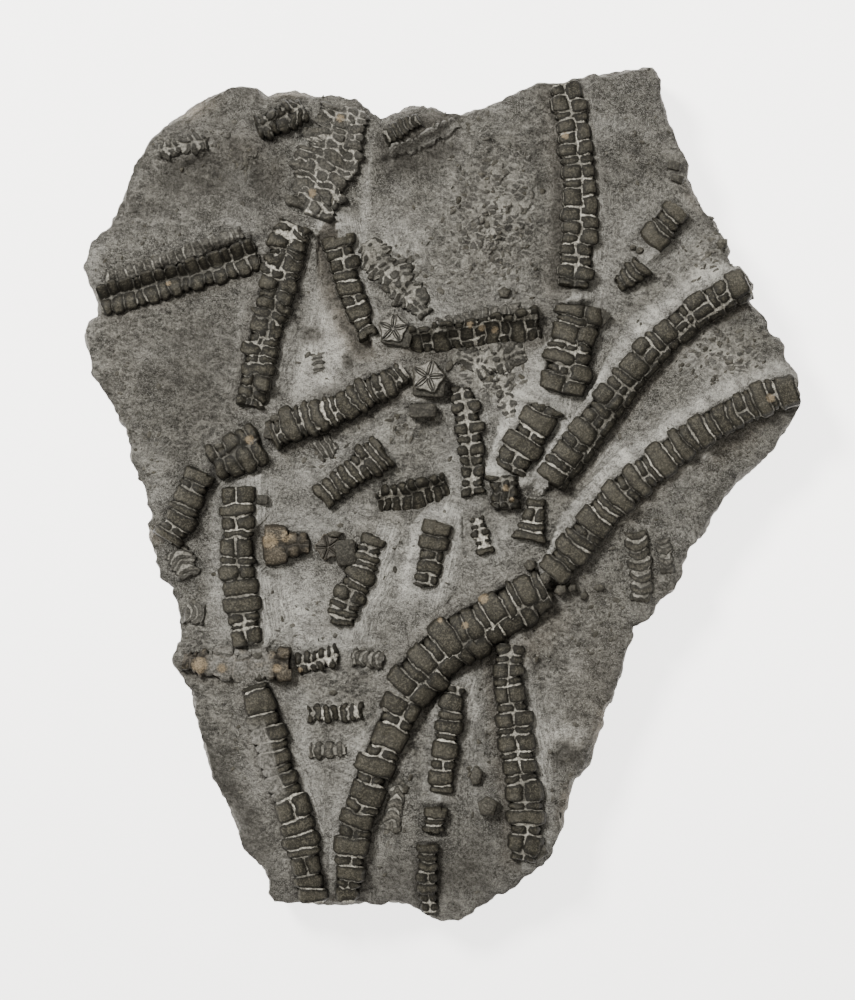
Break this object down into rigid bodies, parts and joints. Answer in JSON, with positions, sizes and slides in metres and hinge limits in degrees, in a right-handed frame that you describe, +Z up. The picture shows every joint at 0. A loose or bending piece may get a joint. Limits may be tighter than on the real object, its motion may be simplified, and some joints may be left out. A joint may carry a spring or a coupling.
{
  "type": "crinoid fossil slab",
  "caption": "Broken grey limestone slab with dark star-sided crinoid stems and star ossicles lying in relief on its upper face.",
  "frame": {"origin": "middle of the slab's box, on its flat underside", "axes": "+Z up out of the fossil face, +Y along the slab's length towards its broad broken end, +X to the right seen from above"},
  "size_m": [0.1515, 0.1808, 0.0194],
  "materials": {
    "grey_limestone": "matte",
    "dark_calcite": "satin",
    "brown_calcite": "satin"
  },
  "bodies": {
    "root": {"limestone_slab": "grey_limestone", "main_stem_right": "dark_calcite", "main_stem_middle": "dark_calcite", "main_stem_lower": "dark_calcite", "upper_right_stem": "dark_calcite", "top_right_stem": "dark_calcite", "elbow_stem_upper": "dark_calcite", "elbow_stem_lower": "dark_calcite", "crushed_knob": "dark_calcite", "left_slant_stem": "dark_calcite", "top_left_stem": "dark_calcite", "upper_left_stem": "dark_calcite", "inner_curved_stem": "dark_calcite", "cross_stem": "dark_calcite", "long_left_stem_upper": "dark_calcite", "long_left_stem_middle": "dark_calcite", "long_left_stem_lower": "dark_calcite", "left_upright_stem": "dark_calcite", "left_cross_stem": "brown_calcite", "left_cross_stem_tip": "dark_calcite", "left_foot_stem": "dark_calcite", "centre_foot_stem_upper": "dark_calcite", "centre_foot_stem_middle": "dark_calcite", "centre_foot_stem_lower": "dark_calcite", "right_foot_stem": "dark_calcite", "ladder_stem": "dark_calcite", "arched_stem": "dark_calcite", "leaning_stem": "dark_calcite", "brown_ended_stem": "brown_calcite", "short_barrel": "dark_calcite", "zigzag_stem": "dark_calcite", "top_edge_stem": "dark_calcite", "upper_left_stub": "dark_calcite", "right_edge_stem": "dark_calcite", "right_edge_stem_tip": "dark_calcite", "centre_column": "dark_calcite", "centre_column_foot": "dark_calcite", "heel_stem": "dark_calcite", "rib_ladder": "dark_calcite", "low_stem": "dark_calcite", "star_ossicle": "dark_calcite", "star_ossicle_on_stack": "dark_calcite", "disc_ossicle": "brown_calcite"}
  },
  "joints": []
}
